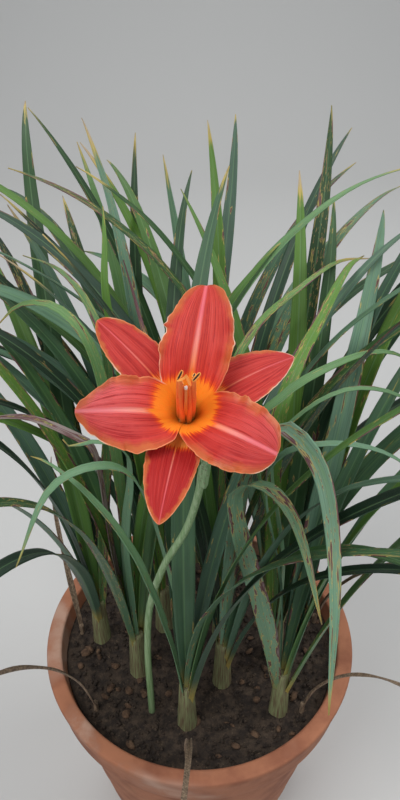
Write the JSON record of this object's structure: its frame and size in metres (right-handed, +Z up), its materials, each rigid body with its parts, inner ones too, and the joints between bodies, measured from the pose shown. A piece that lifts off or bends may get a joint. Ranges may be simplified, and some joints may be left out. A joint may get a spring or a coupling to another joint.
{
  "type": "potted daylily plant",
  "caption": "Daylily in a plain clay pot: fans of arching strap leaves around a leaning scape with an open coral-red flower and closed buds.",
  "frame": {"origin": "middle of the pot's flat underside, on the surface that the pot stands on", "axes": "+Z up along the pot's axis; -Y towards the side that the open flower faces; +X to its right as seen from there"},
  "size_m": [0.684, 0.6186, 0.7132],
  "materials": {
    "clay": "unglazed fired clay, matt, with pale mineral bloom",
    "soil": "moist dark potting compost, crumbly",
    "leaf": "living leaf, waxy satin, lengthwise ribs, some brown dieback",
    "dry_leaf": "withered leaf, grey-brown, matt and papery",
    "stem": "green flower stem, satin, faintly waxy",
    "petal": "coral-red petal, velvety satin with fine darker veins and a pale rib",
    "sepal": "coral-red sepal, satin with fine lengthwise veins",
    "throat": "orange flower tube fading to green at its foot, satin",
    "stamen": "orange-red filament with a dark anther, satin",
    "pistil": "orange style with a pale tip, satin"
  },
  "bodies": {
    "root": {"fan_01": "leaf", "fan_02": "leaf", "fan_03": "leaf", "fan_04": "leaf", "fan_05": "leaf", "fan_06": "leaf", "fan_07": "leaf", "fan_08": "leaf", "fan_09": "leaf", "fan_10": "leaf", "fan_11": "leaf", "fan_12": "leaf", "dry_leaf_1": "dry_leaf", "dry_leaf_2": "dry_leaf", "dry_leaf_3": "dry_leaf", "dry_leaf_4": "dry_leaf", "dry_leaf_5": "dry_leaf", "dry_leaf_6": "dry_leaf", "dry_leaf_7": "dry_leaf", "petal_upper": "petal", "petal_right": "petal", "petal_left": "petal", "sepal_upper_right": "sepal", "sepal_lower": "sepal", "sepal_upper_left": "sepal", "bud_1": "sepal", "bud_2": "sepal", "flower_tube": "throat", "stamen_1": "stamen", "stamen_2": "stamen", "stamen_3": "stamen", "stamen_4": "stamen", "stamen_5": "stamen", "stamen_6": "stamen", "pistil": "pistil", "scape": "stem", "pot": "clay", "soil": "soil"}
  },
  "joints": []
}
